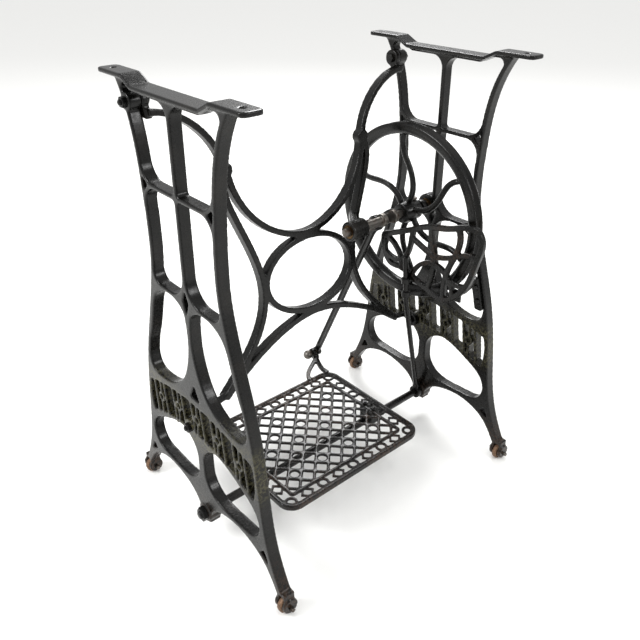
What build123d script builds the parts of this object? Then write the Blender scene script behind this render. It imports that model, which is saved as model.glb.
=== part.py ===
from build123d import *
import os
from math import sin, cos, pi, radians, sqrt

os.makedirs("parts", exist_ok=True)

# ---- driving dimensions, millimetres, origin on the floor under the middle, +Z up ----
top_height = 700.0          # top of the table pads
frame_x = 244.0             # middle plane of each side frame
frame_depth = 18.0          # depth of the cast ribbons along X
rib = 6.0                   # in-plane thickness of a ribbon
leg_rib = 7.5               # in-plane thickness of the legs
flange_width = 30.0         # width of the top flange along X
flange_thick = 6.0
pad_end = 162.0             # half length of the top flange
pad_hole_y = 142.0          # table screw holes
foot_y = 188.0              # feet, before and behind the middle
roller_r = 14.0
roller_width = 9.0
cheek_r = 12.0              # round cheeks of the feet
rod_y, rod_z, rod_r = 0.0, 48.0, 7.0          # treadle rod
axis_y, axis_z = 14.0, 430.0                  # wheel axis, along X
wheel_x, wheel_r, wheel_in = 188.0, 149.0, 131.0
rim_width = 20.0
shaft_r = 7.0
throw = 32.0                                  # crank throw
throw_angle = -32.0                           # crank rest angle, from +Y towards +Z
pitman_x, pitman_thick = 141.0, 6.0
foot_pin_y, foot_pin_z = 196.0, 82.0          # lower pitman pivot
treadle_x0, treadle_x1 = -172.0, 123.0
treadle_y0, treadle_y1 = -107.0, 137.0
treadle_z, treadle_thick = 69.0, 6.0
pitch = 29.4                                  # lattice pitch of the treadle
clear = 0.05                                  # running clearance on radius

pin_y = axis_y + throw * cos(radians(throw_angle))
pin_z = axis_z + throw * sin(radians(throw_angle))

# outer edge of a leg: height and half width, top to foot
leg_edge = [(697, 129), (650, 104), (600, 92), (550, 87), (500, 84.5), (450, 87), (400, 98),
            (350, 113), (300, 128), (250, 139), (200, 146), (150, 152), (100, 162), (60, 177), (34, 190)]


def save(shape, name):
    export_step(shape, "parts/" + name + ".step")


def facing_up(face):
    """The same flat area with its normal along +Z, so that areas add together."""
    f = face.face()
    return Sketch() + (f if f.normal_at().Z > 0 else -f)


def closed(points):
    return facing_up(make_face(Spline(*points, periodic=True)))


def ribbon(points, width):
    """A strip of even width that follows a smooth line through the points."""
    line = Spline(*points)
    n = 6 * len(points)
    left, right = [], []
    for i in range(n + 1):
        p, t = line @ (i / n), line % (i / n)
        left.append((p.X - t.Y * width / 2, p.Y + t.X * width / 2))
        right.append((p.X + t.Y * width / 2, p.Y - t.X * width / 2))
    a, b = Spline(*left), Spline(*right)
    return facing_up(make_face([a, b, Line(left[0], right[0]), Line(left[-1], right[-1])]))


def bar2(p, q, width):
    """A straight strip between two points."""
    dx, dy = q[0] - p[0], q[1] - p[1]
    k = width / 2 / sqrt(dx * dx + dy * dy)
    return facing_up(Polygon((p[0] - dy * k, p[1] + dx * k), (q[0] - dy * k, q[1] + dx * k),
                      (q[0] + dy * k, q[1] - dx * k), (p[0] + dy * k, p[1] - dx * k), align=None))


def rounded(points):
    """A polygon whose corners carry their own radius: (u, v, r)."""
    face = Polygon(*[(u, v) for u, v, r in points], align=None)
    return facing_up(round_at(face, points))


def round_at(face, points):
    for u, v, r in points:
        if r > 0:
            near = min(face.vertices(), key=lambda w: (w.X - u) ** 2 + (w.Y - v) ** 2)
            face = fillet(near, r)
    return face


def x_plate(face, x0, x1):
    """A drawing in Y and Z pulled along X."""
    return extrude(Plane.YZ.offset(x0) * face, x1 - x0)


def x_rod(y, z, r, x0, x1):
    return Pos((x0 + x1) / 2, y, z) * Rot(0, 90, 0) * Cylinder(r, x1 - x0)


def y_rod(x, z, r, y0, y1):
    return Pos(x, (y0 + y1) / 2, z) * Rot(90, 0, 0) * Cylinder(r, y1 - y0)


def z_rod(x, y, r, z0, z1):
    return Pos(x, y, (z0 + z1) / 2) * Cylinder(r, z1 - z0)


def x_hex(y, z, across, x0, x1):
    return x_plate(Pos(y, z) * RegularPolygon(across / 2, 6, major_radius=False), x0, x1)


def x_tube(y, z, r, hole, x0, x1):
    return x_rod(y, z, r, x0, x1) - x_rod(y, z, hole, x0 - 1, x1 + 1)


def rod_between(p, q, r):
    line = Line(p, q)
    return sweep(Plane(origin=line @ 0, z_dir=line % 0) * Circle(r), path=line)


# ---- side frames ----
def leg_region(inset):
    """The area between the two legs, drawn in by the inset."""
    right = [(w - inset, h) for h, w in leg_edge]
    left = [(-w + inset, h) for h, w in leg_edge]
    a, b = Spline(*right), Spline(*left)
    return facing_up(make_face([a, b, Line(right[0], left[0]), Line(right[-1], left[-1])]))


boss_r = 15.0
brace_top = (104.0, 664.0)       # brace bolt on the rear leg
brace_low = (24.0, 200.0)        # brace bolt on the centre post


def band_low(y):
    return 199.0 - 36.0 * (y / 150.0) ** 2


def band_high(y):
    return 250.0 - 26.0 * (y / 150.0) ** 2


def frame_drawing():
    body = leg_region(0)
    # the open arches under the frame, either side of the treadle boss
    for s in (1, -1):
        arch = [(s * 13, 30), (s * 17, 56), (s * 34, 73), (s * 60, 83), (s * 92, 87), (s * 122, 82),
                (s * 148, 69), (s * 171, 42), (s * 178, 30)]
        body -= make_face([Spline(*arch), Line(arch[-1], arch[0])])
    inner = leg_region(leg_rib)
    for s in (1, -1):
        top = Polygon((s * 3.5, 679), (s * 68, 679), (s * 90, 689), (s * 150, 689), (s * 150, 567),
                      (s * 3.5, 567), align=None) & inner
        body -= round_at(top.face(), [(s * 3.5, 679, 20), (s * 117, 689, 8), (s * 3.5, 567, 6),
                                      (s * 80, 567, 28)])
        mid = Polygon((s * 3.5, 561), (s * 150, 561), (s * 150, 420), (s * 3.5, 420), align=None) & inner
        body -= round_at(mid.face(), [(s * 3.5, 561, 6), (s * 80, 561, 24), (s * 3.5, 420, 36),
                                      (s * 84, 420, 18)])
        body -= rounded([(s * 83.2, 573.5, 1), (s * 81.0, 553.5, 1), (s * 70, 564, 1)])
        leaf = closed([(s * 8, 396), (s * 5, 355), (s * 13, 315), (s * 31, 281), (s * 60, 260),
                       (s * 92, 253), (s * 119, 259), (s * 125, 282), (s * 111, 325), (s * 97, 367),
                       (s * 82, 400), (s * 54, 414), (s * 24, 411)])
        body -= leaf & inner
        low = closed([(s * 8, 150), (s * 18, 176), (s * 42, 189), (s * 75, 183), (s * 110, 167),
                      (s * 136, 148), (s * 143, 125), (s * 132, 103), (s * 100, 96), (s * 60, 94),
                      (s * 26, 102), (s * 10, 122)])
        body -= low
        body -= rounded([(s * 152, 92, 1.5), (s * 162, 72, 1), (s * 143, 82, 1.5)])
    body -= rounded([(0, 436, 1), (7, 420, 2), (0, 400, 1), (-7, 420, 2)])
    body -= rounded([(0, 286, 1), (12, 262, 2), (-12, 262, 2)])
    # ornamental band: an open slot between two arcs, filled with slanted bars and rings
    ys = [-133, -100, -50, 0, 50, 100, 133]
    lower = Spline(*[(y, band_low(y)) for y in ys])
    upper = Spline(*[(y, band_high(y)) for y in ys])
    left = ThreePointArc((-133, band_low(-133)), (-137.5, 200), (-133, band_high(-133)))
    right = ThreePointArc((133, band_low(133)), (137.5, 200), (133, band_high(133)))
    body -= make_face([lower, upper, left, right]) & leg_region(leg_rib - 1)
    for i in range(-4, 5):
        y = 26.0 * i
        c = (band_low(y) + band_high(y)) / 2
        body += bar2((y - 17, band_low(y) - 4), (y - 9, band_high(y) + 4), 4.6)
        if i % 2 == 0:
            body += bar2((y + 1, band_low(y) - 3), (y + 1, band_high(y) + 3), 4.6)
            body += Pos(y + 1, c) * Circle(8.5)
            body -= Pos(y + 1, c) * Circle(4.5)
    body += bar2((119, band_low(119) - 4), (123, band_high(119) + 4), 5)
    return body


# profile of the top flange: raised pads at both ends and a dip between
flange_face = rounded([(-pad_end, 700, 0), (-99, 700, 12), (-77, 689, 12), (77, 689, 12), (99, 700, 12),
                       (pad_end, 700, 0), (pad_end, 694, 0), (97, 694, 12), (75, 683, 12), (-75, 683, 12),
                       (-97, 694, 12), (-pad_end, 694, 0)])
# the ribs stop at the middle of the flange
over_flange = Polygon((-pad_end, 697), (-98, 697), (-76, 686), (76, 686), (98, 697), (pad_end, 697),
                      (pad_end, 730), (-pad_end, 730), align=None)
drawing = frame_drawing() - over_flange


def side_frame(side):
    x = side * frame_x
    x0, x1 = x - frame_depth / 2, x + frame_depth / 2
    body = x_plate(drawing, x0, x1)
    flange = x_plate(flange_face, x - flange_width / 2, x + flange_width / 2)
    for y in (-pad_hole_y, pad_hole_y):
        corners = flange.edges().filter_by(Axis.Z).filter_by(lambda e: e.center().Y * y > 0)
        flange = fillet(corners, 8)
        flange -= z_rod(x, y, 3.5, 680, 710)
    body += flange
    body += x_rod(rod_y, rod_z, boss_r, x0 - 2, x1 + 2)
    for y, z in (brace_top, brace_low):
        body += x_rod(y, z, 12, x0, x1)
    if side > 0:
        body += x_rod(axis_y, axis_z, 19, x0, x1)
        body += x_plate(bar2((-108, 330), (-121, 286), 17), x0, x1)
    for s in (1, -1):
        # two round cheeks that hold the roller between them
        body += y_rod(x, 17.0, cheek_r, s * foot_y - 11.5, s * foot_y + 11.5)
        body += Pos(x, s * (foot_y - 1), 28) * Box(frame_depth, 19, 20)
        body -= Pos(x, s * foot_y, 12) * Box(2 * roller_r + 3, roller_width + 1.2, 2 * roller_r + 12)
        body -= y_rod(x, roller_r, 3.0, s * foot_y - 30, s * foot_y + 30)
    body -= x_rod(rod_y, rod_z, rod_r + clear, x0 - 9, x1 + 9)
    for y, z in (brace_top, brace_low):
        body -= x_rod(y, z, 4.2, x0 - 9, x1 + 9)
    if side > 0:
        body -= x_rod(axis_y, axis_z, 11.0, x0 - 9, x1 + 9)
        for z in guard_bolt_z:
            body -= x_rod(guard_bolt_y(z), z, 3.2, x0 - 9, x1 + 9)
    return body


guard_bolt_z = (296.0, 320.0)


def guard_bolt_y(z):
    return -107 - 13 * (330 - z) / 44


save(side_frame(-1), "left_side_frame")
save(side_frame(1), "right_side_frame")

# ---- feet: a roller and its pin in every foot ----
names = {(-1, -1): "front_left", (1, -1): "front_right", (-1, 1): "rear_left", (1, 1): "rear_right"}
pins = []
for (sx, sy), where in names.items():
    x, y = sx * frame_x, sy * foot_y
    roller = y_rod(x, roller_r, roller_r, y - roller_width / 2, y + roller_width / 2)
    roller = fillet(roller.edges().filter_by(GeomType.CIRCLE), 1.2)
    roller -= y_rod(x, roller_r, 3.0 + clear, y - 10, y + 10)
    save(roller, "roller_" + where)
    pins.append(y_rod(x, roller_r, 3.0, y - 17, y + 17))
save(Compound(pins), "roller_pins")

# ---- rear brace: an inclined openwork of cast bars ----
brace_slope = 0.136
brace_y0, brace_z0 = 49.0, 360.0
slope_len = sqrt(1 + brace_slope ** 2)
brace_plane = Plane(origin=(0, brace_y0, brace_z0), x_dir=(1, 0, 0),
                    z_dir=(0, -1 / slope_len, brace_slope / slope_len))
brace_depth = 16.0
inner_face = frame_x - frame_depth / 2


def brace_pts(points, s=1):
    return [(s * x, (z - brace_z0) * slope_len) for x, z in points]


def brace_bar(points, width, depth=brace_depth, s=1):
    return extrude(brace_plane * ribbon(brace_pts(points, s), width), depth / 2, both=True)


swag = [(130, 556), (120, 516), (92, 474), (50, 444), (0, 431.5)]
swag += [(-x, z) for x, z in swag[-2::-1]]
arch_line = [(186, 217), (150, 243), (105, 269), (58, 288), (0, 298)]
arch_line += [(-x, z) for x, z in arch_line[-2::-1]]
brace = brace_bar(swag, 9.5) + brace_bar(arch_line, 9.5)
ring = Pos(0, 5 * slope_len) * (Ellipse(92, 65.5) - Ellipse(82.5, 56))
brace += extrude(brace_plane * ring, brace_depth / 2, both=True)
for s in (1, -1):
    brace += brace_bar([(232, 650), (190, 638), (158, 612), (138, 580), (131, 550)], 9, 15, s)
    brace += brace_bar([(133, 560), (139, 530), (128, 488), (110, 442), (97, 402), (92, 362),
                        (100, 322), (122, 284), (152, 251), (188, 218)], 9.5, s=s)
    cusp = Pos(s * 132, (556 - brace_z0) * slope_len) * Circle(11)
    brace += extrude(brace_plane * cusp, 8, both=True)
    brace += rod_between((s * 182, 27.0, 222), (s * (inner_face - 4.5), brace_low[0] + 7, brace_low[1] + 11), 5.5)
    # lugs that sit against the side frames
    for y, z in (brace_top, brace_low):
        brace += x_rod(y, z, 13, min(s * inner_face, s * (inner_face - 9)), max(s * inner_face, s * (inner_face - 9)))
    strap = Polygon((86, 642), (98, 642), (116, 660), (112, 674), (98, 674), align=None)
    brace += x_plate(facing_up(strap), min(s * inner_face, s * (inner_face - 9)), max(s * inner_face, s * (inner_face - 9)))
    for y, z in (brace_top, brace_low):
        brace -= x_rod(y, z, 4.2, min(s * 200, s * 270), max(s * 200, s * 270))
# bearing arm and eye for the crank shaft, on the right-hand bar
eye_x0, eye_x1 = 52.0, 84.0
eye_mid = (eye_x0 + eye_x1) / 2
brace += x_rod(axis_y, axis_z, 16, eye_x0, eye_x1)
brace += Pos(84, 37, 428) * Rot(0, 0, 49.4) * Box(62, 11, 22)
brace -= x_rod(axis_y, axis_z, 8.6, 20, 126)
brace -= x_rod(axis_y, axis_z, 11.0, eye_x0 - 3, eye_x1 + 3)
save(brace, "rear_brace")

bolts, nuts = [], []
for s in (1, -1):
    for y, z in (brace_top, brace_low):
        head0, head1 = inner_face - 9, inner_face - 14
        bolt = x_rod(y, z, 4.0, head1, frame_x + frame_depth / 2 + 9) + x_hex(y, z, 13, head1, head0)
        nut = x_hex(y, z, 13, frame_x + frame_depth / 2, frame_x + frame_depth / 2 + 6)
        nut -= x_rod(y, z, 4.0, 200, 280)
        if s < 0:
            bolt, nut = mirror(bolt, about=Plane.YZ), mirror(nut, about=Plane.YZ)
        bolts.append(bolt)
        nuts.append(nut)
save(Compound(bolts), "brace_bolts")
save(Compound(nuts), "brace_nuts")

# ---- crank shaft, its bushes and the drive wheel ----
save(x_tube(axis_y, axis_z, 11.0, shaft_r + clear, eye_x0, eye_x1), "left_shaft_bush")
save(x_tube(axis_y, axis_z, 11.0, shaft_r + clear, inner_face, inner_face + frame_depth), "right_shaft_bush")

web_r = 11.0
web0, web1, web2, web3 = 124.0, 132.0, 150.0, 157.0
pin_r = 6.0


def web(x0, x1):
    face = bar2((axis_y, axis_z), (pin_y, pin_z), 16)
    face += Pos(axis_y, axis_z) * Circle(web_r) + Pos(pin_y, pin_z) * Circle(web_r - 1)
    return x_plate(face, x0, x1)


shaft = x_rod(axis_y, axis_z, shaft_r, eye_x0 - 8, web1) + web(web0, web1)
shaft += x_rod(pin_y, pin_z, pin_r, web0, web3) + web(web2, web3)
shaft += x_rod(axis_y, axis_z, shaft_r, web2, inner_face + frame_depth + 4)
save(shaft, "crank_shaft")

hub_r, hub0, hub1 = 17.0, 171.0, 208.0
rim_half = rim_width / 2
rim_profile = Polygon((wheel_in, -5), (wheel_in + 6, -rim_half + 1), (wheel_r - 2, -rim_half), (wheel_r, -rim_half + 2),
                      (wheel_r, -5), (wheel_r - 6, 0), (wheel_r, 5), (wheel_r, rim_half - 2),
                      (wheel_r - 2, rim_half), (wheel_in + 6, rim_half - 1), (wheel_in, 5), align=None)
rim = revolve(Plane.XZ * rim_profile, Axis.Z)
wheel = Pos(wheel_x, axis_y, axis_z) * Rot(0, 90, 0) * rim
spokes = 6
first_spoke = 145.0
for i in range(spokes):
    a = radians(first_spoke + 360.0 * i / spokes)
    pts = []
    for r, off in ((12, 0), (40, 13), (72, 8), (104, -9), (134, -6)):
        pts.append((axis_y + r * cos(a) - off * sin(a), axis_z + r * sin(a) + off * cos(a)))
    wheel += x_plate(ribbon(pts, 11), wheel_x - 5, wheel_x + 5)
wheel += x_rod(axis_y, axis_z, hub_r, hub0, hub1)
wheel -= x_rod(axis_y, axis_z, shaft_r + 0.02, hub0 - 5, hub1 + 5)
screw_x = 203.0
wheel -= z_rod(screw_x, axis_y, 3.0, axis_z, axis_z + hub_r + 3)
save(wheel, "drive_wheel")
save(z_rod(screw_x, axis_y, 3.0, axis_z + shaft_r + 0.1, axis_z + hub_r + 1.5)
     + z_rod(screw_x, axis_y, 4.5, axis_z + hub_r + 1.5, axis_z + hub_r + 4.5), "wheel_set_screw")
collar = x_tube(axis_y, axis_z, 12, shaft_r, hub1 + 8, inner_face - 8)
save(collar, "shaft_collar")

# ---- pitman: flat rod from the crank pin down to the treadle arm ----
p0, p1 = pitman_x - pitman_thick / 2, pitman_x + pitman_thick / 2
pitman_face = bar2((pin_y, pin_z), (foot_pin_y, foot_pin_z), 12)
pitman_face += Pos(pin_y, pin_z) * Circle(13.5) + Pos(foot_pin_y, foot_pin_z) * Circle(9.0)
pitman = x_plate(pitman_face, p0, p1)
pitman += x_rod(pin_y, pin_z, 13.5, p0 - 3, p1 + 3) + x_rod(foot_pin_y, foot_pin_z, 9.0, p0 - 0.5, p1 + 3)
run = sqrt((foot_pin_y - pin_y) ** 2 + (foot_pin_z - pin_z) ** 2)
uy, uz = (foot_pin_y - pin_y) / run, (foot_pin_z - pin_z) / run
groove = bar2((pin_y + 24 * uy, pin_z + 24 * uz), (foot_pin_y - 24 * uy, foot_pin_z - 24 * uz), 6)
pitman -= x_plate(groove, p0 - 5, p0 + 1.5)
pitman -= x_rod(pin_y, pin_z, 9.0, p0 - 9, p1 + 9)
pitman -= x_rod(foot_pin_y, foot_pin_z, 5.0, p0 - 9, p1 + 9)
save(pitman, "pitman_rod")
save(x_tube(pin_y, pin_z, 9.0, pin_r + clear, p0 - 3, p1 + 3), "pitman_bush")
save(x_tube(foot_pin_y, foot_pin_z, 5.0, 3.2, p0 - 0.5, p1 + 3), "pitman_foot_bush")

# ---- treadle: lattice plate, arm, bearings on the rod ----
cx, cy = (treadle_x0 + treadle_x1) / 2, (treadle_y0 + treadle_y1) / 2
lx, ly = treadle_x1 - treadle_x0, treadle_y1 - treadle_y0


def pull(face, z0, z1):
    return extrude(Plane.XY.offset(z0) * face, z1 - z0)


outer = Pos(cx, cy) * RectangleRounded(lx, ly, 26)
window = Pos(cx, cy) * RectangleRounded(lx - 18, ly - 18, 18)
rim_face = outer - window
nx, ny = 8, 6                                # lattice cells inside the border
border = 21.0                                # width of the ornamental strip
in_x, in_y = lx - 18 - 2 * border, ly - 18 - 2 * border
step_x, step_y = in_x / nx, in_y / ny
line_w = 5.0
frame_line = Pos(cx, cy) * (RectangleRounded(in_x + 2 * line_w, in_y + 2 * line_w, 6) - Rectangle(in_x, in_y))
rim_face += frame_line
field = Pos(cx, cy) * Rectangle(in_x + 2, in_y + 2)
x_low, y_low = cx - in_x / 2, cy - in_y / 2
lattice = None
# bars at a slant both ways, half a cell apart
for k in range(-ny - 1, nx + 1):
    a = (x_low + (k + 0.5) * step_x, y_low)
    b = (a[0] + ny * step_x, y_low + in_y)
    up = bar2(a, b, 5.2)
    down = bar2((a[0], y_low + in_y), (b[0], y_low), 5.2)
    lattice = up + down if lattice is None else lattice + up + down
ring_spots = [(i, j) for i in range(nx + 1) for j in range(ny + 1)
              if (i + j) % 2 == 0 and 0 < i < nx and 0 < j < ny]
for i, j in ring_spots:
    lattice += Pos(x_low + i * step_x, y_low + j * step_y) * Circle(12.4)
lattice = lattice & field
for i, j in ring_spots:
    lattice -= Pos(x_low + i * step_x, y_low + j * step_y) * Circle(7.2)
# border strip: rings and diamonds in turn


def strip_piece(x, y, ringed):
    if ringed:
        return Pos(x, y) * (Circle(10.8) - Circle(6.0))
    return Pos(x, y) * Rot(0, 0, 45) * (Rectangle(19, 19) - Rectangle(11.5, 11.5))


strip_y = in_y / 2 + line_w + (border - line_w) / 2
strip_x = in_x / 2 + line_w + (border - line_w) / 2
count_x, count_y = 9, 7
ornament = None
spots = []
for i in range(count_x):
    x = cx - strip_x + 2 * strip_x * i / (count_x - 1)
    spots += [(x, cy + strip_y, i % 2 == 0), (x, cy - strip_y, i % 2 == 0)]
for j in range(1, count_y - 1):
    y = cy - strip_y + 2 * strip_y * j / (count_y - 1)
    spots += [(cx - strip_x, y, j % 2 == 0), (cx + strip_x, y, j % 2 == 0)]
for x, y, ringed in spots:
    piece = strip_piece(x, y, ringed)
    ornament = piece if ornament is None else ornament + piece
ornament = ornament & (Pos(cx, cy) * RectangleRounded(lx - 10, ly - 10, 22))
plate = pull(rim_face, treadle_z, treadle_z + treadle_thick)
plate += pull(lattice, treadle_z + 1, treadle_z + treadle_thick - 1)
plate += pull(ornament, treadle_z + 1, treadle_z + treadle_thick - 1)
# raised lip round the edge
plate += pull(outer - Pos(cx, cy) * RectangleRounded(lx - 9, ly - 9, 22), treadle_z - 2.5, treadle_z + 7.5)
# forked arm back to the pitman
arm_x0, arm_x1 = 127.0, 134.5
arm_eye_x = (arm_x0 + arm_x1) / 2
arm_thick = 6.0
arm = pull(ribbon([(113, 130), (115, 152), (124, 173), (arm_eye_x, foot_pin_y - 7)], 9), 72, 72 + arm_thick)
arm += pull(ribbon([(70, 133), (80, 150), (104, 168), (arm_eye_x - 2, foot_pin_y - 11)], 8), 72, 72 + arm_thick)
arm += x_rod(foot_pin_y, foot_pin_z, 9, arm_x0, arm_x1)
arm += Pos(arm_eye_x, foot_pin_y - 8, 76) * Box(arm_x1 - arm_x0, 16, 12)
plate += arm
bearing_x = (-150.0, 100.0)
for x in bearing_x:
    plate += Pos(x, rod_y, 66.5) * Box(22, 30, 9)
    for y in (-11.5, 11.5):
        plate -= z_rod(x, rod_y + y, 2.6, 60, 90)
plate -= x_rod(foot_pin_y, foot_pin_z, 4.0, arm_x0 - 9, arm_x1 + 9)
save(plate, "treadle_plate")
ball = Pos(arm_x0 - 9, foot_pin_y, foot_pin_z) * Sphere(9)
ball &= Pos(arm_x0 - 11, foot_pin_y, foot_pin_z) * Box(22, 30, 30)
ball += x_rod(foot_pin_y, foot_pin_z, 4.0, arm_x0 - 9, arm_x1)
save(ball, "pitman_ball_stud")
blocks, screws = [], []
for x in bearing_x:
    block = Pos(x, rod_y, 51.0) * Box(18, 30, 22)
    block = fillet(block.edges().filter_by(Axis.X).sort_by(Axis.Z)[:2], 8)
    block -= x_rod(rod_y, rod_z, rod_r + clear, x - 20, x + 20)
    for y in (-11.5, 11.5):
        block -= z_rod(x, rod_y + y, 2.6, 30, 70)
        screws.append(z_rod(x, rod_y + y, 2.5, 38.5, 80) + z_rod(x, rod_y + y, 4.5, treadle_z + treadle_thick, 78.5))
    blocks.append(block)
save(Compound(blocks), "treadle_bearings")
save(Compound(screws), "treadle_bearing_screws")

# ---- treadle rod and its nuts ----
rod_end = frame_x + frame_depth / 2 + 13
save(x_rod(rod_y, rod_z, rod_r, -rod_end, rod_end), "treadle_rod")
nut = x_hex(rod_y, rod_z, 21, frame_x + frame_depth / 2 + 2, frame_x + frame_depth / 2 + 10)
nut -= x_rod(rod_y, rod_z, rod_r, 200, 290)
save(Compound([nut, mirror(nut, about=Plane.YZ)]), "treadle_rod_nuts")
stop = x_tube(rod_y, rod_z, 11, rod_r, 112, 122)
save(Compound([stop, x_tube(rod_y, rod_z, 11, rod_r, -172, -162)]), "rod_collars")

# ---- dress guard: scrolled plate inside the wheel, with its bracket, bolts and post ----
guard_x0, guard_x1 = 161.0, 169.0
edge = [(42, 392), (15, 403), (-15, 417), (-50, 433), (-95, 444), (-128, 456), (-152, 455), (-163, 438),
        (-158, 405), (-148, 368), (-122, 326), (-92, 309), (-60, 316), (-28, 324), (2, 334), (24, 334),
        (40, 348), (46, 370)]
outline = closed(edge)
border_line = Spline(*edge, periodic=True)
inside = []
for i in range(40):
    p, t = border_line @ (i / 40), border_line % (i / 40)
    inside.append((p.X - 9 * t.Y, p.Y + 9 * t.X))
guard_face = outline - closed(inside)
scrolls = [ribbon([(38, 386), (18, 376), (2, 356), (-2, 334)], 7.5),
           ribbon([(44, 362), (22, 350), (2, 352), (-14, 372), (-20, 398), (-24, 418)], 7.5),
           ribbon([(-22, 328), (-34, 350), (-54, 366), (-80, 368), (-104, 352), (-112, 326)], 7.5),
           ribbon([(-16, 400), (-40, 392), (-66, 384), (-98, 390), (-126, 404), (-158, 408)], 7.5),
           ribbon([(-62, 434), (-64, 408), (-70, 384), (-68, 350), (-60, 320)], 8),
           ribbon([(-112, 448), (-118, 424), (-112, 400), (-100, 372), (-94, 340), (-94, 314)], 8),
           ribbon([(-104, 352), (-126, 350), (-148, 362)], 7.5)]
for piece in scrolls:
    guard_face += piece
guard_face = guard_face & outline
guard = x_plate(guard_face, guard_x0, guard_x1)
save(guard, "dress_guard")

# bracket: a strap from the front leg round to the guard
strap_z0, strap_z1 = 327.0, 337.0
plate_shape = rounded([(-97, 338, 4), (-112, 338, 4), (-128, 280, 4), (-112, 280, 4)])
bracket = x_plate(plate_shape, inner_face - 6, inner_face)
strap_line = ribbon([(inner_face - 3, -108), (212, -113), (190, -118), (guard_x1 + 2, -118)], 6)
bracket += pull(strap_line, strap_z0, strap_z1)
bracket += Pos(guard_x1 + 2, -116, 328) * Box(4, 18, 20)
for z in guard_bolt_z:
    bracket -= x_rod(guard_bolt_y(z), z, 3.2, 200, 260)
save(bracket, "guard_bracket")
bolts = []
for z in guard_bolt_z:
    y = guard_bolt_y(z)
    bolts.append(x_rod(y, z, 3.0, inner_face - 10, frame_x + frame_depth / 2 + 6)
                 + x_hex(y, z, 10, inner_face - 10, inner_face - 6)
                 + x_hex(y, z, 10, frame_x + frame_depth / 2, frame_x + frame_depth / 2 + 5))
save(Compound(bolts), "guard_bolts")

post_r = 4.5
post_a = (inner_face - 9.0, 0.0, 66.0)
post_x = guard_x0 - post_r - 1.5               # leaves a wall of collar between post and guard
post_b = (post_x, -24.0, 284.0)
post_c = (post_x, -17.0, 366.0)
post = rod_between(post_a, post_b, post_r) + rod_between(post_b, post_c, post_r)
post += Pos(*post_b) * Sphere(post_r)
foot_clip = x_rod(rod_y, rod_z, 12, inner_face - 12, inner_face - 2.1)
foot_clip += Pos(inner_face - 7, 0, 62) * Box(9.6, 12, 14)
foot_clip -= x_rod(rod_y, rod_z, rod_r, 200, 250)
post += foot_clip
save(post, "guard_post")


def on_post(t):
    return tuple(b + (c - b) * t for b, c in zip(post_b, post_c))


rings = []
for t in (0.12, 0.42):
    a, b = on_post(t), on_post(t + 0.12)
    rings.append(rod_between(a, b, post_r + 3) - rod_between(on_post(t - 0.05), on_post(t + 0.17), post_r))
cut = Pos(guard_x1 + 11, 0, 320) * Box(2 * (guard_x1 + 11 - guard_x0), 200, 200)
save(Compound([r - cut for r in rings]), "post_collars")
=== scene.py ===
import math

import bmesh
import bpy
from mathutils import Matrix, Vector


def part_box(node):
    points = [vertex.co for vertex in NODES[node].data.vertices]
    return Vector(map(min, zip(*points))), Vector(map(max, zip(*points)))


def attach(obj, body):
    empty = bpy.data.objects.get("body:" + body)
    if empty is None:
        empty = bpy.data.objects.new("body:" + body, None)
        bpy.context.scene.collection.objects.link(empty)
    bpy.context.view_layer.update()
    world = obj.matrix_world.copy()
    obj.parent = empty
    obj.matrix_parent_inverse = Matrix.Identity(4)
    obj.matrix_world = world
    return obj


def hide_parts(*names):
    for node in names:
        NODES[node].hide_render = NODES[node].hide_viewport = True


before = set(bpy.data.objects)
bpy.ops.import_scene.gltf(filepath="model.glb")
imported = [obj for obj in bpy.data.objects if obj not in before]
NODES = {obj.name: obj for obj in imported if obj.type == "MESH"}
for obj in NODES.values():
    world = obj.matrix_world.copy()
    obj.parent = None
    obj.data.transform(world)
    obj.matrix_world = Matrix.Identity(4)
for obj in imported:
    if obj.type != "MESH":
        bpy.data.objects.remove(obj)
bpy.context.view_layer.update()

bl_info = {
    "name": "Treadle stand",
    "version": (1, 0, 0),
    "blender": (4, 5, 0),
    "location": "View3D > Sidebar > Treadle stand",
    "description": "Casts, turns and enamels the visible pieces of a treadle sewing machine stand",
    "category": "Object",
}

MM = 0.001
FULL_TURN = 2 * math.pi

# millimetres
SIDE_MIDDLE = 244.0             # middle plane of a side frame
WHEEL_MIDDLE = 188.0            # middle plane of the wheel's rim
AXLE_RADIUS = 7.0
ROD_HEIGHT = 48.0               # treadle rod above the floor
ROD_COLLARS = (117, -167)       # middles of the two rod collars along X
ROD_COLLAR_WIDTH, ROD_COLLAR_RADIUS = 10, 11

# metres above the floor: where a zone of the enamel starts, and where it is full
BAND_FOOT = (0.165, 0.19)
BAND_HEAD = (0.262, 0.24)
MOPPED = (0.09, 0.02)

# studio
FLOOR_WIDTH = 60.0              # metres
SENSOR_WIDTH = 36.0             # millimetres
SKY_STRENGTH = 0.74
CEILING_STRENGTH, CEILING_SPREAD = 0.62, math.radians(70)
LAMPS_AIM = Vector((0, 0, 0.35))


# ---------------------------------------------------------------- sizes and colours

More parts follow.
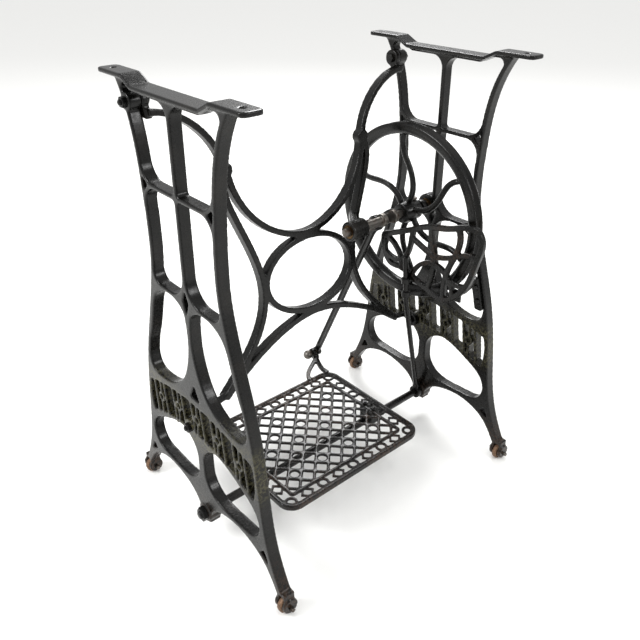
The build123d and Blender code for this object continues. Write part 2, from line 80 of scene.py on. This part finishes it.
class StandFinish(bpy.types.PropertyGroup):
    """Colours and grain of the finishes"""
    enamel: bpy.props.StringProperty(name="Enamel", description="Black enamel, sRGB hex", default="#070706")
    thin_enamel: bpy.props.StringProperty(
        name="Thin enamel", description="Enamel worn thin over the iron, sRGB hex", default="#151310")
    dulled_gilding: bpy.props.StringProperty(
        name="Dulled gilding", description="Old paint left on the ornament, sRGB hex", default="#423f2c")
    rust: bpy.props.StringProperty(
        name="Rust", description="Brown rust where the enamel has gone, sRGB hex", default="#3a2a1f")
    steel: bpy.props.StringProperty(name="Steel", description="Darkened turned steel, sRGB hex", default="#6d6964")
    bronze: bpy.props.StringProperty(name="Bronze", description="Oiled bearing bronze, sRGB hex", default="#54432c")
    roller_iron: bpy.props.StringProperty(
        name="Roller iron", description="Bare iron of the foot rollers, sRGB hex", default="#80624a")
    sand_grain: bpy.props.FloatProperty(
        name="Sand grain", description="Size of the ripple left by the casting sand", default=2.4 * MM,
        unit="LENGTH", min=0.2 * MM)


class StandSizes(bpy.types.PropertyGroup):
    """Mesh steps and the wheel's spokes"""
    casting_step: bpy.props.FloatProperty(
        name="Casting step", description="Mesh step of the large castings, which sets how round their edges are",
        default=1.5 * MM, unit="LENGTH", min=0.5 * MM)
    lattice_step: bpy.props.FloatProperty(
        name="Lattice step", description="Mesh step of the thin castings", default=1.3 * MM, unit="LENGTH",
        min=0.5 * MM)
    spokes: bpy.props.IntProperty(name="Spokes", description="Number of spokes in the wheel", default=6, min=3)
    first_spoke: bpy.props.FloatProperty(
        name="First spoke", description="Turn of the first spoke about the axle", default=math.radians(145),
        subtype="ANGLE")


class StandStudio(bpy.types.PropertyGroup):
    """Floor colour and camera"""
    floor_colour: bpy.props.StringProperty(name="Floor", description="Plain pale floor, sRGB hex", default="#f4f4f2")
    lens: bpy.props.FloatProperty(name="Lens", description="Focal length of the camera", default=39.49, min=1.0,
                                  unit="CAMERA")
    camera_place: bpy.props.FloatVectorProperty(
        name="Camera place", description="Where the camera stands", default=(-0.6452, -0.7257, 0.868),
        subtype="TRANSLATION")
    heading: bpy.props.FloatProperty(
        name="Heading", description="Turn of the camera from +Y towards +X", default=math.radians(40.79),
        subtype="ANGLE")
    tilt: bpy.props.FloatProperty(
        name="Tilt", description="How far the camera looks down", default=math.radians(27.23), subtype="ANGLE")
    shift: bpy.props.FloatProperty(name="Shift", description="Upward shift of the picture", default=-0.0625)


# ---------------------------------------------------------------- modelling helpers

def alone(piece):
    """Leaves only this piece selected and active."""
    bpy.ops.object.select_all(action="DESELECT")
    piece.select_set(True)
    bpy.context.view_layer.objects.active = piece


def named(name):
    """Names the piece just made and puts its place into its mesh."""
    piece = bpy.context.active_object
    piece.name = piece.data.name = name
    alone(piece)
    bpy.ops.object.transform_apply(location=True, rotation=True, scale=True)
    return piece


def editing(piece, mode="FACE"):
    """Enters edit mode on the piece with nothing selected."""
    alone(piece)
    bpy.ops.object.mode_set(mode="EDIT")
    bpy.ops.mesh.select_mode(type=mode)
    bpy.ops.mesh.select_all(action="DESELECT")


def done_editing():
    bpy.ops.object.mode_set(mode="OBJECT")


def pick(piece, elements, test):
    """Selects the faces, edges or verts that pass the test, in edit mode."""
    mesh = bmesh.from_edit_mesh(piece.data)
    for item in getattr(mesh, elements):
        if test(item):
            item.select_set(True)
    mesh.select_flush_mode()
    bmesh.update_edit_mesh(piece.data)


def applied(piece, kind, **settings):
    """Adds a modifier with these settings and applies it."""
    alone(piece)
    modifier = piece.modifiers.new(kind.lower(), kind)
    for key, value in settings.items():
        setattr(modifier, key, value)
    bpy.ops.object.modifier_apply(modifier=modifier.name)


def joined(name, pieces):
    """Joins the pieces into one with this name."""
    bpy.ops.object.select_all(action="DESELECT")
    for piece in pieces:
        piece.select_set(True)
    bpy.context.view_layer.objects.active = pieces[0]
    if len(pieces) > 1:
        bpy.ops.object.join()
    return named(name)


def copied(piece, name, matrix):
    """A copy with its own mesh, moved in its mesh."""
    other = bpy.data.objects.new(name, piece.data.copy())
    other.data.name = name
    other.data.transform(matrix)
    if matrix.determinant() < 0:
        other.data.flip_normals()
    bpy.context.scene.collection.objects.link(other)
    return other


def turned(name, profile, centre, axis, steps=48, closed=True):
    """A turned body: profile holds (along the axis, radius) in millimetres."""
    axis, centre = Vector(axis), Vector(centre) * MM
    out = axis.orthogonal().normalized()
    points = [centre + axis * (a * MM) + out * (r * MM) for a, r in profile]
    bpy.ops.object.select_all(action="DESELECT")
    bpy.ops.mesh.primitive_plane_add(size=MM, location=points[0])
    bpy.ops.object.mode_set(mode="EDIT")
    bpy.ops.mesh.select_mode(type="VERT")
    bpy.ops.mesh.select_all(action="SELECT")
    bpy.ops.mesh.merge(type="CENTER")
    following = points[1:] + (points[:1] if closed else [])
    here = points[0]
    for point in following:
        bpy.ops.mesh.extrude_region_move(TRANSFORM_OT_translate={"value": point - here})
        here = point
    bpy.ops.mesh.select_all(action="SELECT")
    bpy.ops.mesh.remove_doubles(threshold=0.001 * MM)
    bpy.ops.mesh.select_all(action="SELECT")
    bpy.ops.mesh.spin(steps=steps, angle=FULL_TURN, center=centre, axis=axis)
    bpy.ops.mesh.select_all(action="SELECT")
    bpy.ops.mesh.remove_doubles(threshold=0.004 * MM)
    bpy.ops.mesh.normals_make_consistent(inside=False)
    done_editing()
    piece = named(name)
    bpy.ops.object.shade_smooth_by_angle(angle=math.radians(40))
    return piece


def hexagon(name, centre, across, thick):
    """A hexagon along X with its corners taken off at the outer end, millimetres. thick may be negative."""
    x, y, z = centre
    bpy.ops.object.select_all(action="DESELECT")
    bpy.ops.mesh.primitive_cylinder_add(
        vertices=6, radius=across / math.sqrt(3) * MM, depth=abs(thick) * MM,
        location=((x + thick / 2) * MM, y * MM, z * MM), rotation=(0, math.pi / 2, 0))
    piece = named(name)
    outward = 1 if thick > 0 else -1
    editing(piece)
    pick(piece, "faces", lambda f: f.normal.x * outward > 0.9)
    bpy.ops.mesh.inset(thickness=0.07 * across * MM, depth=0.0)
    bpy.ops.mesh.select_all(action="DESELECT")
    bpy.ops.mesh.select_mode(type="EDGE")
    end = (x + thick) * MM
    rim = 0.5 * across * MM
    pick(piece, "edges", lambda e: all(
        abs(v.co.x - end) < 0.01 * MM and math.hypot(v.co.y - y * MM, v.co.z - z * MM) > rim for v in e.verts))
    bpy.ops.mesh.bevel(offset=0.08 * across * MM, segments=2, affect="EDGES")
    done_editing()
    bpy.ops.object.shade_smooth_by_angle(angle=math.radians(28))
    return piece


def softened(node, name, step, passes=3):
    """The node's own shape as a casting: the mesh is merged, laid again in even steps, and its edges are relaxed."""
    piece = bpy.data.objects.new(name, NODES[node].data.copy())
    piece.data.name = name
    bpy.context.scene.collection.objects.link(piece)
    editing(piece, "VERT")
    bpy.ops.mesh.select_all(action="SELECT")
    bpy.ops.mesh.remove_doubles(threshold=0.01 * MM)
    done_editing()
    applied(piece, "REMESH", mode="VOXEL", voxel_size=step, adaptivity=0.0)
    applied(piece, "SMOOTH", factor=0.5, iterations=passes)
    bpy.ops.object.shade_smooth()
    return piece


def hand_over(piece, body, slot, look, *nodes):
    """The piece rides on its body, stands for these nodes and takes its finish."""
    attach(piece, body)
    if nodes:
        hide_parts(*nodes)
    coat(piece, look)


# ---------------------------------------------------------------- finishes

def linear(code):
    """A linear colour from an sRGB hex value."""
    parts = [int(code.lstrip("#")[i:i + 2], 16) / 255 for i in (0, 2, 4)]
    return [c / 12.92 if c <= 0.04045 else ((c + 0.055) / 1.055) ** 2.4 for c in parts] + [1.0]


def add(tree, kind, settings=None, **inputs):
    """Adds one node. An input is a value, or a (node, output number) link; i0, i1 and so on name a socket by number."""
    node = tree.nodes.new(kind)
    for key, value in (settings or {}).items():
        setattr(node, key, value)
    for key, value in inputs.items():
        socket = node.inputs[int(key[1:])] if key[1:].isdigit() else node.inputs[key.replace("_", " ")]
        if isinstance(value, tuple):
            tree.links.new(value[0].outputs[value[1]], socket)
        else:
            socket.default_value = value
    return node


def new_material(name):
    """An empty node material and its tree."""
    material = bpy.data.materials.new(name)
    material.use_nodes = True
    material.node_tree.nodes.clear()
    return material, material.node_tree


def per_metre(millimetres):
    """Pattern scale for a pattern whose step is this long."""
    return 1.0 / (millimetres * MM)


def enamelled_iron(name, ornament=0.0, feet=0.0, tread=0.0):
    """Black enamel on sand-cast iron: deep and half glossy, softly rippled, thin and brown where it has worn."""
    look = bpy.context.scene.stand_finish
    material, tree = new_material(name)
    coords = add(tree, "ShaderNodeTexCoord")
    where = add(tree, "ShaderNodeSeparateXYZ", Vector=(coords, 3))
    # clouds about 35 mm across: where the enamel lies thick or thin
    cloud = add(tree, "ShaderNodeTexNoise", Vector=(coords, 3), Scale=per_metre(35), Detail=5.0)
    # flecks about 5 mm across: chips and stains
    fleck = add(tree, "ShaderNodeTexNoise", Vector=(coords, 3), Scale=per_metre(5), Detail=6.0, Roughness=0.65)
    thin = add(tree, "ShaderNodeMapRange", Value=(cloud, 0), From_Min=0.5, From_Max=0.72)
    chips = add(tree, "ShaderNodeMapRange", Value=(fleck, 0), From_Min=0.42, From_Max=0.6)
    colour = add(tree, "ShaderNodeMix", {"data_type": "RGBA"}, i0=(thin, 0), i6=linear(look.enamel),
                 i7=linear(look.thin_enamel))
    if ornament:
        # the ornamental band of the side frames
        above = add(tree, "ShaderNodeMapRange", Value=(where, 2), From_Min=BAND_FOOT[0], From_Max=BAND_FOOT[1])
        below = add(tree, "ShaderNodeMapRange", Value=(where, 2), From_Min=BAND_HEAD[0], From_Max=BAND_HEAD[1])
        zone = add(tree, "ShaderNodeMath", {"operation": "MULTIPLY"}, i0=(above, 0), i1=(below, 0))
        spots = add(tree, "ShaderNodeMath", {"operation": "MULTIPLY"}, i0=(zone, 0), i1=(chips, 0))
        amount = add(tree, "ShaderNodeMath", {"operation": "MULTIPLY"}, i0=(spots, 0), i1=ornament)
        colour = add(tree, "ShaderNodeMix", {"data_type": "RGBA"}, i0=(amount, 0), i6=(colour, 2),
                     i7=linear(look.dulled_gilding))
    if feet:
        # the feet, where floors were mopped
        low = add(tree, "ShaderNodeMapRange", Value=(where, 2), From_Min=MOPPED[0], From_Max=MOPPED[1])
        spots = add(tree, "ShaderNodeMath", {"operation": "MULTIPLY"}, i0=(low, 0), i1=(chips, 0))
        amount = add(tree, "ShaderNodeMath", {"operation": "MULTIPLY"}, i0=(spots, 0), i1=feet)
        colour = add(tree, "ShaderNodeMix", {"data_type": "RGBA"}, i0=(amount, 0), i6=(colour, 2),
                     i7=linear(look.rust))
    if tread:
        # areas about 90 mm across, rubbed by shoes
        rubbed = add(tree, "ShaderNodeTexNoise", Vector=(coords, 3), Scale=per_metre(90), Detail=2.0)
        area = add(tree, "ShaderNodeMapRange", Value=(rubbed, 0), From_Min=0.46, From_Max=0.64)
        spots = add(tree, "ShaderNodeMath", {"operation": "MULTIPLY"}, i0=(area, 0), i1=(chips, 0))
        amount = add(tree, "ShaderNodeMath", {"operation": "MULTIPLY"}, i0=(spots, 0), i1=tread)
        colour = add(tree, "ShaderNodeMix", {"data_type": "RGBA"}, i0=(amount, 0), i6=(colour, 2),
                     i7=linear(look.rust))
    gloss = add(tree, "ShaderNodeMapRange", Value=(fleck, 0), From_Min=0.3, From_Max=0.7, To_Min=0.2, To_Max=0.34)
    # casting sand is under half a millimetre across, too fine to show, so its grain is drawn coarser
    sand = add(tree, "ShaderNodeTexNoise", Vector=(coords, 3), Scale=1.0 / look.sand_grain, Detail=2.0)
    ripple = add(tree, "ShaderNodeBump", Strength=0.25, Distance=0.3 * MM, Height=(sand, 0))
    waves = add(tree, "ShaderNodeBump", Strength=0.3, Distance=1.0 * MM, Height=(cloud, 0), Normal=(ripple, 0))
    shader = add(tree, "ShaderNodeBsdfPrincipled", Base_Color=(colour, 2), Roughness=(gloss, 0), Normal=(waves, 0),
                 Metallic=0.0, IOR=1.5, Specular_IOR_Level=0.26)
    add(tree, "ShaderNodeOutputMaterial", Surface=(shader, 0))
    return material


def turned_steel():
    """Turned mild steel gone dark with oil: grey, with brown stains and uneven gloss."""
    look = bpy.context.scene.stand_finish
    material, tree = new_material("darkened turned steel")
    coords = add(tree, "ShaderNodeTexCoord")
    stain = add(tree, "ShaderNodeTexNoise", Vector=(coords, 3), Scale=per_metre(12), Detail=5.0)
    amount = add(tree, "ShaderNodeMapRange", Value=(stain, 0), From_Min=0.45, From_Max=0.7)
    colour = add(tree, "ShaderNodeMix", {"data_type": "RGBA"}, i0=(amount, 0), i6=linear(look.steel),
                 i7=linear(look.rust))
    rough = add(tree, "ShaderNodeMapRange", Value=(stain, 0), From_Min=0.3, From_Max=0.7, To_Min=0.3, To_Max=0.55)
    marks = add(tree, "ShaderNodeTexNoise", Vector=(coords, 3), Scale=per_metre(1), Detail=2.0)
    bump = add(tree, "ShaderNodeBump", Strength=0.12, Distance=0.08 * MM, Height=(marks, 0))
    shader = add(tree, "ShaderNodeBsdfPrincipled", Base_Color=(colour, 2), Roughness=(rough, 0), Normal=(bump, 0),
                 Metallic=1.0)
    add(tree, "ShaderNodeOutputMaterial", Surface=(shader, 0))
    return material


def bearing_bronze():
    """Oiled bearing bronze: dull brown gold, darker in blotches."""
    look = bpy.context.scene.stand_finish
    material, tree = new_material("oiled bearing bronze")
    coords = add(tree, "ShaderNodeTexCoord")
    blotch = add(tree, "ShaderNodeTexNoise", Vector=(coords, 3), Scale=per_metre(5), Detail=4.0)
    amount = add(tree, "ShaderNodeMapRange", Value=(blotch, 0), From_Min=0.4, From_Max=0.7)
    colour = add(tree, "ShaderNodeMix", {"data_type": "RGBA"}, i0=(amount, 0), i6=linear(look.bronze),
                 i7=linear(look.rust))
    rough = add(tree, "ShaderNodeMapRange", Value=(blotch, 0), To_Min=0.28, To_Max=0.5)
    shader = add(tree, "ShaderNodeBsdfPrincipled", Base_Color=(colour, 2), Roughness=(rough, 0), Metallic=1.0)
    add(tree, "ShaderNodeOutputMaterial", Surface=(shader, 0))
    return material


def bare_cast_iron():
    """Cast iron with its paint rolled off: brown, dry and finely pitted."""
    look = bpy.context.scene.stand_finish
    material, tree = new_material("bare pitted cast iron")
    coords = add(tree, "ShaderNodeTexCoord")
    pits = add(tree, "ShaderNodeTexNoise", Vector=(coords, 3), Scale=per_metre(2.5), Detail=6.0, Roughness=0.7)
    amount = add(tree, "ShaderNodeMapRange", Value=(pits, 0), From_Min=0.42, From_Max=0.64)
    colour = add(tree, "ShaderNodeMix", {"data_type": "RGBA"}, i0=(amount, 0), i6=linear(look.roller_iron),
                 i7=linear(look.rust))
    bump = add(tree, "ShaderNodeBump", Strength=0.45, Distance=0.35 * MM, Height=(pits, 0))
    shader = add(tree, "ShaderNodeBsdfPrincipled", Base_Color=(colour, 2), Roughness=0.58, Normal=(bump, 0),
                 Metallic=0.4)
    add(tree, "ShaderNodeOutputMaterial", Surface=(shader, 0))
    return material


FINISHES = {
    "side_enamel": lambda: enamelled_iron("black enamel on cast iron, side frames", ornament=0.9, feet=0.8),
    "plain_enamel": lambda: enamelled_iron("black enamel on cast iron"),
    "worn_enamel": lambda: enamelled_iron("rubbed black enamel on cast iron", tread=0.75),
    "steel": turned_steel,
    "bronze": bearing_bronze,
    "bare_iron": bare_cast_iron,
}
made = {}


def coat(piece, look):
    """Gives the piece its finish, which is made once and shared."""
    if look not in made:
        made[look] = FINISHES[look]()
    piece.data.materials.clear()
    piece.data.materials.append(made[look])


# ---------------------------------------------------------------- operators

class STAND_OT_studio(bpy.types.Operator):
    """Set the pale floor, the soft lights and the camera"""
    bl_idname = "stand.studio"
    bl_label = "Studio"

    def execute(self, context):
        look = context.scene.stand_studio
        bpy.ops.object.select_all(action="DESELECT")
        bpy.ops.mesh.primitive_plane_add(size=FLOOR_WIDTH)
        floor = named("studio_floor")
        material, tree = new_material("matt white paper")
        coords = add(tree, "ShaderNodeTexCoord")
        fibre = add(tree, "ShaderNodeTexNoise", Vector=(coords, 3), Scale=per_metre(3), Detail=3.0)
        bump = add(tree, "ShaderNodeBump", Strength=0.02, Distance=0.1 * MM, Height=(fibre, 0))
        shader = add(tree, "ShaderNodeBsdfPrincipled", Base_Color=linear(look.floor_colour), Roughness=0.9,
                     Normal=(bump, 0))
        add(tree, "ShaderNodeOutputMaterial", Surface=(shader, 0))
        floor.data.materials.append(material)
        world = context.scene.world or bpy.data.worlds.new("studio")
        context.scene.world = world
        world.use_nodes = True
        sky = world.node_tree.nodes["Background"]
        sky.inputs[0].default_value = (1.0, 1.0, 1.0, 1.0)
        sky.inputs[1].default_value = SKY_STRENGTH
        ceiling = bpy.data.lights.new("ceiling_light", "SUN")
        ceiling.energy, ceiling.angle = CEILING_STRENGTH, CEILING_SPREAD
        above = bpy.data.objects.new("ceiling_light", ceiling)
        above.rotation_euler = (math.radians(8), math.radians(-14), 0.0)
        context.scene.collection.objects.link(above)
        lamps = (("left_light", (-2.2, 0.9, 2.0), 0.9, 55.0),
                 ("right_light", (1.6, 1.6, 2.2), 0.9, 45.0),
                 ("front_light", (0.9, -2.4, 1.9), 0.8, 30.0))
        for name, place, size, power in lamps:
            lamp = bpy.data.lights.new(name, "AREA")
            lamp.size, lamp.energy = size, power
            holder = bpy.data.objects.new(name, lamp)
            holder.location = place
            aim = LAMPS_AIM - Vector(place)
            holder.rotation_euler = aim.to_track_quat("-Z", "Y").to_euler()
            context.scene.collection.objects.link(holder)
        lens = bpy.data.cameras.new("camera")
        lens.lens, lens.sensor_width, lens.shift_y = look.lens, SENSOR_WIDTH, look.shift
        camera = bpy.data.objects.new("camera", lens)
        camera.location = look.camera_place
        camera.rotation_euler = (math.pi / 2 - look.tilt, 0.0, -look.heading)
        context.scene.collection.objects.link(camera)
        context.scene.camera = camera
        context.scene.view_settings.view_transform = "Standard"
        return {"FINISHED"}


class STAND_OT_castings(bpy.types.Operator):
    """Cast the side frames, the brace, the treadle, the guard and the smaller iron pieces, with soft edges"""
    bl_idname = "stand.castings"
    bl_label = "Castings"

    def execute(self, context):
        sizes = context.scene.stand_sizes
        fine = sizes.lattice_step
        plan = (
            ("left_side_frame", "cast_left_side", sizes.casting_step, "stand", "side_enamel"),
            ("right_side_frame", "cast_right_side", sizes.casting_step, "stand", "side_enamel"),
            ("rear_brace", "cast_brace", fine, "stand", "plain_enamel"),
            ("dress_guard", "cast_guard", fine * 0.8, "stand", "worn_enamel"),
            ("guard_bracket", "cast_guard_bracket", fine * 0.8, "stand", "plain_enamel"),
            ("treadle_plate", "cast_treadle", fine, "treadle", "worn_enamel"),
            ("treadle_bearings", "cast_treadle_bearings", fine * 0.7, "treadle", "plain_enamel"),
            ("pitman_rod", "forged_pitman", fine * 0.7, "pitman", "plain_enamel"),
            ("guard_post", "bent_guard_post", fine * 0.6, "stand", "plain_enamel"),
            ("post_collars", "cast_post_collars", fine * 0.6, "stand", "plain_enamel"),
            ("crank_shaft", "forged_crank", fine * 0.6, "wheel", "steel"),
        )
        for node, name, step, body, look in plan:
            piece = softened(node, name, step)
            hand_over(piece, body, "black_iron", look, node)
        return {"FINISHED"}


class STAND_OT_wheel(bpy.types.Operator):
    """Turn the wheel's grooved rim and hub and set its curved oval spokes"""
    bl_idname = "stand.wheel"
    bl_label = "Wheel"

    def execute(self, context):
        sizes = context.scene.stand_sizes
        low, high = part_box("drive_wheel")
        middle_y, middle_z = (low[1] + high[1]) / 2 / MM, (low[2] + high[2]) / 2 / MM
        centre = (WHEEL_MIDDLE, middle_y, middle_z)
        half = [(5, 131), (8, 134), (9.4, 137), (9.8, 140), (9.8, 146.5), (9.2, 148.2), (8, 149),
                (6.4, 148.5), (5, 147), (3.4, 144.8), (1.6, 143.3), (0, 142.9)]
        rim = half + [(-a, r) for a, r in half[-2::-1]] + [(0, 130.3)]
        parts = [turned("rim", rim, centre, (1, 0, 0), steps=144)]
        hub = [(-17, 7.1), (-17, 14.6), (-16, 16.4), (-14, 17), (-8, 17.2), (-5, 18.6), (5, 18.6), (8, 17.2),
               (17, 17), (19, 16.4), (20, 14.6), (20, 7.1)]
        parts.append(turned("hub", hub, centre, (1, 0, 0), steps=48))
        spoke = self.spoke(centre)
        for i in range(sizes.spokes):
            angle = sizes.first_spoke + FULL_TURN * i / sizes.spokes
            about = Matrix.Translation(Vector(centre) * MM)
            parts.append(copied(spoke, "spoke", about @ Matrix.Rotation(angle, 4, "X") @ about.inverted()))
        bpy.data.objects.remove(spoke)
        piece = joined("band_wheel", parts)
        hand_over(piece, "wheel", "black_iron", "plain_enamel", "drive_wheel")
        return {"FINISHED"}

    def spoke(self, centre):
        """One spoke along +Y from the hub to the rim: an oval section, pushed out step by step along an S."""
        line = [(13, 0), (26, 8.5), (40, 13), (56, 12.3), (72, 8), (88, -1), (104, -8.8), (119, -9.5), (132.5, -6.3)]
        spots = [Vector((centre[0], centre[1] + r, centre[2] + off)) * MM for r, off in line]
        heading = [math.atan2(b.z - a.z, b.y - a.y) for a, b in zip(spots, spots[1:])]
        slopes = [heading[0]] + [(a + b) / 2 for a, b in zip(heading, heading[1:])] + [heading[-1]]
        bpy.ops.object.select_all(action="DESELECT")
        bpy.ops.mesh.primitive_circle_add(vertices=16, radius=MM, fill_type="NGON", location=spots[0],
                                          rotation=(math.pi / 2, 0, 0))
        piece = named("spoke_form")
        editing(piece)
        bpy.ops.mesh.select_all(action="SELECT")
        bpy.ops.transform.resize(value=(5.2, 1.0, 6.8), center_override=spots[0])
        for i in range(1, len(spots)):
            bpy.ops.mesh.extrude_region_move(TRANSFORM_OT_translate={"value": spots[i] - spots[i - 1]})
            slimmer = 0.97 if i < 6 else 1.05
            bpy.ops.transform.resize(value=(slimmer, 1.0, slimmer), center_override=spots[i])
            bpy.ops.transform.rotate(value=-(slopes[i] - slopes[i - 1]), orient_axis="X",
                                     center_override=spots[i])
        bpy.ops.mesh.select_all(action="SELECT")
        bpy.ops.mesh.normals_make_consistent(inside=False)
        done_editing()
        applied(piece, "SUBSURF", levels=1, render_levels=1)
        bpy.ops.object.shade_smooth()
        return piece


class STAND_OT_running_gear(bpy.types.Operator):
    """Turn the treadle rod, the collars and the foot rollers"""
    bl_idname = "stand.running_gear"
    bl_label = "Running gear"

    def execute(self, context):
        low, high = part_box("treadle_rod")
        length = (high[0] - low[0]) / MM
        y, z, r = (low[1] + high[1]) / 2 / MM, (low[2] + high[2]) / 2 / MM, (high[2] - low[2]) / 2 / MM
        end = length / 2
        rod = [(-end, 0), (-end, r - 2.2), (-end + 0.8, r - 0.8), (-end + 2.4, r), (end - 2.4, r),
               (end - 0.8, r - 0.8), (end, r - 2.2), (end, 0)]
        piece = turned("turned_treadle_rod", rod, (0, y, z), (1, 0, 0), closed=False)
        hand_over(piece, "stand", "dark_steel", "plain_enamel", "treadle_rod")
        rings = [self.collar((x, y, z), ROD_COLLAR_WIDTH, ROD_COLLAR_RADIUS, r) for x in ROD_COLLARS]
        hand_over(joined("turned_rod_collars", rings), "stand", "dark_steel", "plain_enamel", "rod_collars")
        low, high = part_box("shaft_collar")
        middle = [(a + b) / 2 / MM for a, b in zip(low, high)]
        ring = self.collar(middle, (high[0] - low[0]) / MM, (high[2] - low[2]) / 2 / MM, AXLE_RADIUS)
        hand_over(joined("turned_shaft_collar", [ring]), "wheel", "dark_steel", "plain_enamel", "shaft_collar")
        # crowned rollers with a dished side
        for body in ("front_left_roller", "front_right_roller", "rear_left_roller", "rear_right_roller"):
            where = body.rsplit("_", 1)[0]
            node = "roller_" + where
            low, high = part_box(node)
            spot = [(a + b) / 2 / MM for a, b in zip(low, high)]
            side = [(-4.5, 3.05), (-4.5, 6), (-3.7, 6.6), (-3.7, 10.4), (-4.4, 11.2), (-4.2, 12.6), (-3.2, 13.6),
                    (-1.6, 13.95), (0, 14)]
            profile = side + [(-a, b) for a, b in side[-2::-1]]
            piece = turned("crowned_" + node, profile, spot, (0, 1, 0), steps=56)
            hand_over(piece, body, "worn_iron", "bare_iron", node)
        return {"FINISHED"}

    def collar(self, centre, wide, r, hole):
        h = wide / 2
        profile = [(-h, hole), (-h, r - 1), (-h + 0.4, r - 0.3), (-h + 1.1, r), (h - 1.1, r), (h - 0.4, r - 0.3),
                   (h, r - 1), (h, hole)]
        return turned("collar", profile, centre, (1, 0, 0))


class STAND_OT_fasteners(bpy.types.Operator):
    """Make the hexagon bolts and nuts"""
    bl_idname = "stand.fasteners"
    bl_label = "Fasteners"

    def execute(self, context):
        low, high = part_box("brace_nuts")
        across, nut_thick, head_thick = 13, 6, 5
        half_corners, half_flats = 7.5, 6.5
        strap, thread_showing = 9, 3
        outside = high[0] / MM - nut_thick
        inside = 2 * SIDE_MIDDLE - outside
        places = ((high[1] / MM - half_corners, high[2] / MM - half_flats),
                  (low[1] / MM + half_corners, low[2] / MM + half_flats))
        depth = outside - inside
        beyond = strap + nut_thick + thread_showing
        bolts, nuts = [], []
        for side in (1, -1):
            for y, z in places:
                bolts.append(hexagon("head", (side * (inside - strap), y, z), across, -side * head_thick))
                end = depth + beyond
                shank = [(0, 0), (0, 4), (end - 3, 4), (end - 0.8, 3.4), (end, 2.2), (end, 0)]
                bolts.append(turned("shank", shank, (side * (inside - strap), y, z), (side, 0, 0), 24, False))
                nuts.append(hexagon("nut", (side * outside, y, z), across, side * nut_thick))
        hand_over(joined("hexagon_brace_bolts", bolts), "stand", "dark_steel", "plain_enamel", "brace_bolts")
        hand_over(joined("hexagon_brace_nuts", nuts), "stand", "dark_steel", "plain_enamel", "brace_nuts")
        # the treadle rod's nuts stand on bosses 2 mm proud of the frames
        ends = [hexagon("nut", (side * (outside + 2), 0.0, ROD_HEIGHT), 21, side * 8) for side in (1, -1)]
        hand_over(joined("hexagon_rod_nuts", ends), "stand", "dark_steel", "plain_enamel", "treadle_rod_nuts")
        low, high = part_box("guard_bolts")
        pair = []
        for y, z in (((low[1] / MM + 5.8), low[2] / MM + 5.0), ((high[1] / MM - 5.8), high[2] / MM - 5.0)):
            pair.append(hexagon("head", (inside - 6, y, z), 10, -4))
            pair.append(hexagon("nut", (outside, y, z), 10, 5))
            shank = [(0, 0), (0, 3), (depth + 11, 3), (depth + 12, 2), (depth + 12, 0)]
            pair.append(turned("shank", shank, (inside - 6, y, z), (1, 0, 0), 24, False))
        hand_over(joined("hexagon_guard_bolts", pair), "stand", "dark_steel", "plain_enamel", "guard_bolts")
        return {"FINISHED"}


class STAND_OT_remaining(bpy.types.Operator):
    """Give the turned and bored pieces that keep their own shape their finish"""
    bl_idname = "stand.remaining"
    bl_label = "Remaining finishes"

    def execute(self, context):
        plan = {
            "steel": ("roller_pins", "wheel_set_screw", "pitman_ball_stud"),
            "bronze": ("left_shaft_bush", "right_shaft_bush", "pitman_bush", "pitman_foot_bush"),
            "plain_enamel": ("treadle_bearing_screws",),
        }
        for look, nodes in plan.items():
            for node in nodes:
                coat(NODES[node], look)
        return {"FINISHED"}


class STAND_PT_steps(bpy.types.Panel):
    """The stand's steps in order, and its sizes and colours"""
    bl_label = "Treadle stand"
    bl_idname = "STAND_PT_steps"
    bl_space_type = "VIEW_3D"
    bl_region_type = "UI"
    bl_category = "Treadle stand"

    def draw(self, context):
        for step in STEPS:
            self.layout.operator(step.bl_idname)
        scene = context.scene
        for group in (scene.stand_sizes, scene.stand_finish, scene.stand_studio):
            for name in group.__annotations__:
                self.layout.prop(group, name)


STEPS = (STAND_OT_studio, STAND_OT_castings, STAND_OT_wheel, STAND_OT_running_gear, STAND_OT_fasteners,
         STAND_OT_remaining)
CLASSES = (StandFinish, StandSizes, StandStudio) + STEPS + (STAND_PT_steps,)


def register():
    for item in CLASSES:
        bpy.utils.register_class(item)
    bpy.types.Scene.stand_finish = bpy.props.PointerProperty(type=StandFinish)
    bpy.types.Scene.stand_sizes = bpy.props.PointerProperty(type=StandSizes)
    bpy.types.Scene.stand_studio = bpy.props.PointerProperty(type=StandStudio)


def unregister():
    del bpy.types.Scene.stand_studio
    del bpy.types.Scene.stand_sizes
    del bpy.types.Scene.stand_finish
    for item in reversed(CLASSES):
        bpy.utils.unregister_class(item)


def main():
    register()
    bpy.ops.stand.studio()
    bpy.ops.stand.castings()
    bpy.ops.stand.wheel()
    bpy.ops.stand.running_gear()
    bpy.ops.stand.fasteners()
    bpy.ops.stand.remaining()


if __name__ == "__main__":
    main()
